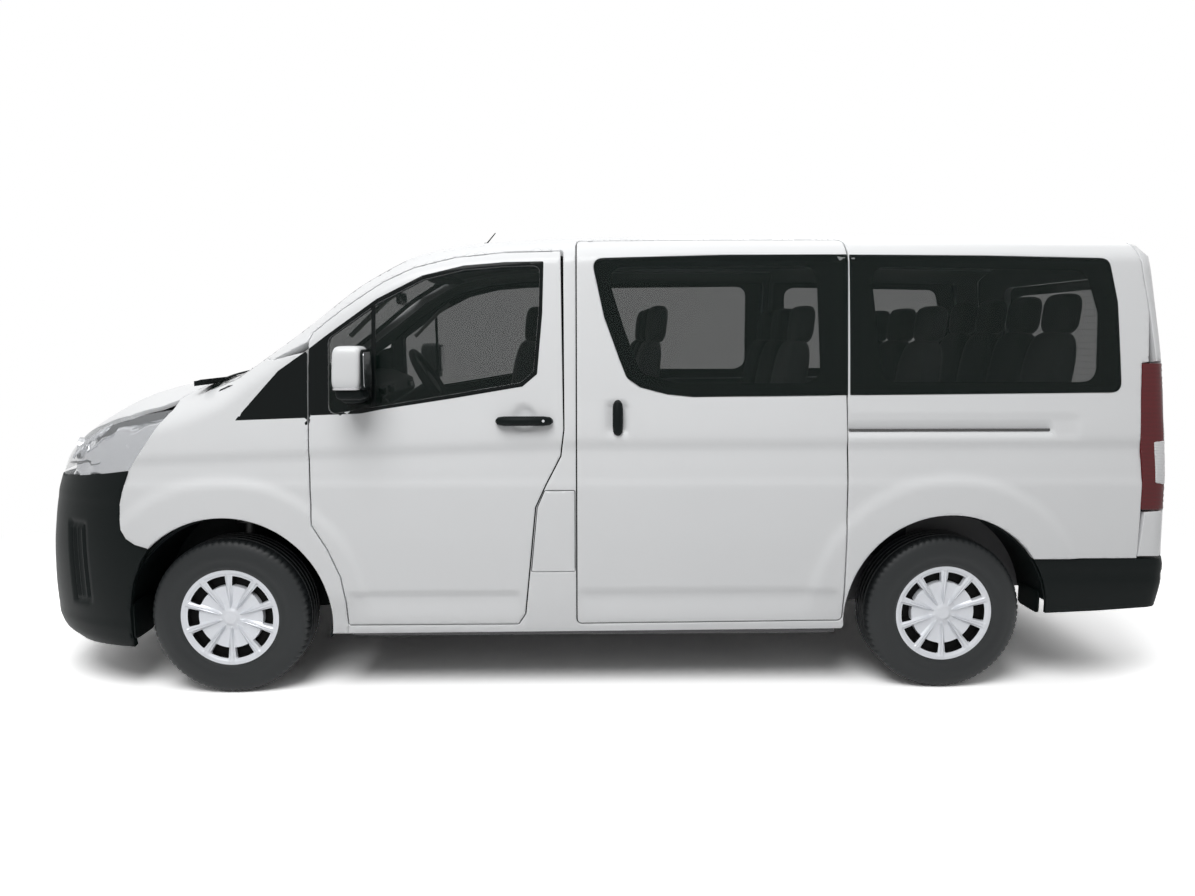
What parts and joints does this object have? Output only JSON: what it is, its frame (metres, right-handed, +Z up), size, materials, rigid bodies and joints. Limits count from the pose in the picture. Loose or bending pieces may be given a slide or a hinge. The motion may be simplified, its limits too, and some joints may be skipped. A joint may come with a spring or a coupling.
{
  "type": "passenger van",
  "caption": "High-roofed passenger van with hinged front doors, bonnet, tailgate, fuel flap, steered front wheels and rows of seats behind glazed sides.",
  "frame": {"origin": "middle of the van's length and width, on the ground", "axes": "+Z up, front of the van towards -X, its left side towards -Y"},
  "size_m": [5.3101, 2.33, 2.0849],
  "materials": {
    "white_paint": "gloss",
    "black_plastic": "textured",
    "window_glass": "tinted",
    "clear_lens": "clear",
    "red_lens": "clear",
    "underbody_paint": "satin",
    "bare_steel": "satin",
    "engine_metal": "satin",
    "tank_plastic": "satin",
    "exhaust_steel": "satin",
    "cabin_plastic": "textured",
    "seat_cloth": "woven",
    "tyre_rubber": "matte",
    "silver_wheel": "silver"
  },
  "bodies": {
    "body": {"roof_panel": "white_paint", "cowl_panel": "black_plastic", "windscreen": "window_glass", "front_bumper": "black_plastic", "grille": "black_plastic", "headlights": "clear_lens", "side_glass": "window_glass", "tail_lights": "red_lens", "rear_bumper": "black_plastic", "floor_pan": "underbody_paint", "wheel_liners": "black_plastic", "underframe": "underbody_paint", "rear_axle": "bare_steel", "leaf_springs": "bare_steel", "engine": "engine_metal", "propeller_shaft": "bare_steel", "fuel_tank": "tank_plastic", "exhaust": "exhaust_steel", "dashboard": "cabin_plastic", "steering_wheel": "cabin_plastic", "front_seats": "seat_cloth", "rear_seats": "seat_cloth", "side_panel_left": "white_paint", "front_fender_left": "white_paint", "sliding_door_left": "white_paint", "side_panel_right": "white_paint", "front_fender_right": "white_paint", "sliding_door_right": "white_paint"},
    "front_door_left": {"front_door_left": "white_paint", "front_door_glass_left": "window_glass", "door_mirror_left": "white_paint"},
    "steering_knuckle_left": {"steering_knuckle_left": "bare_steel"},
    "wheel_front_left": {"tyre_front_left": "tyre_rubber", "wheel_front_left": "silver_wheel"},
    "wheel_rear_left": {"tyre_rear_left": "tyre_rubber", "wheel_rear_left": "silver_wheel"},
    "front_door_right": {"front_door_right": "white_paint", "front_door_glass_right": "window_glass", "door_mirror_right": "white_paint"},
    "steering_knuckle_right": {"steering_knuckle_right": "bare_steel"},
    "wheel_front_right": {"tyre_front_right": "tyre_rubber", "wheel_front_right": "silver_wheel"},
    "wheel_rear_right": {"tyre_rear_right": "tyre_rubber", "wheel_rear_right": "silver_wheel"},
    "bonnet": {"bonnet": "white_paint"},
    "tailgate": {"tailgate": "white_paint", "tailgate_glass": "window_glass"},
    "fuel_flap": {"fuel_flap": "white_paint"}
  },
  "joints": [
    {"name": "front_door_left_swing", "type": "hinge", "parent": "body", "child": "front_door_left", "pos_m": [-1.2715, -0.978, 1], "axis": [0, 0, -1], "range_deg": [0, 70]},
    {"name": "steer_left", "type": "hinge", "parent": "body", "child": "steering_knuckle_left", "pos_m": [-1.6545, -0.745, 0.23], "axis": [0, 0.2177, 0.976], "range_deg": [-33, 33]},
    {"name": "wheel_front_left_spin", "type": "hinge", "parent": "steering_knuckle_left", "child": "wheel_front_left", "pos_m": [-1.6545, -0.838, 0.353], "axis": [0, 1, 0], "continuous": true},
    {"name": "wheel_rear_left_spin", "type": "hinge", "parent": "body", "child": "wheel_rear_left", "pos_m": [1.5555, -0.838, 0.353], "axis": [0, 1, 0], "continuous": true},
    {"name": "front_door_right_swing", "type": "hinge", "parent": "body", "child": "front_door_right", "pos_m": [-1.2715, 0.978, 1], "axis": [0, 0, 1], "range_deg": [0, 70]},
    {"name": "steer_right", "type": "hinge", "parent": "body", "child": "steering_knuckle_right", "pos_m": [-1.6545, 0.745, 0.23], "axis": [0, -0.2177, 0.976], "range_deg": [-33, 33]},
    {"name": "wheel_front_right_spin", "type": "hinge", "parent": "steering_knuckle_right", "child": "wheel_front_right", "pos_m": [-1.6545, 0.838, 0.353], "axis": [0, 1, 0], "continuous": true},
    {"name": "wheel_rear_right_spin", "type": "hinge", "parent": "body", "child": "wheel_rear_right", "pos_m": [1.5555, 0.838, 0.353], "axis": [0, 1, 0], "continuous": true},
    {"name": "bonnet_lift", "type": "hinge", "parent": "body", "child": "bonnet", "pos_m": [-1.8035, 0, 1.408], "axis": [0, 1, 0], "range_deg": [0, 55]},
    {"name": "tailgate_lift", "type": "hinge", "parent": "body", "child": "tailgate", "pos_m": [2.4055, 0, 2.07], "axis": [0, -1, 0], "range_deg": [0, 85]},
    {"name": "fuel_flap_swing", "type": "hinge", "parent": "body", "child": "fuel_flap", "pos_m": [-0.1065, -0.978, 0.74], "axis": [0, 0, 1], "range_deg": [0, 90]}
  ],
  "couplings": [
    {"joint": "steer_right", "follows": "steer_left", "ratio": 1}
  ]
}
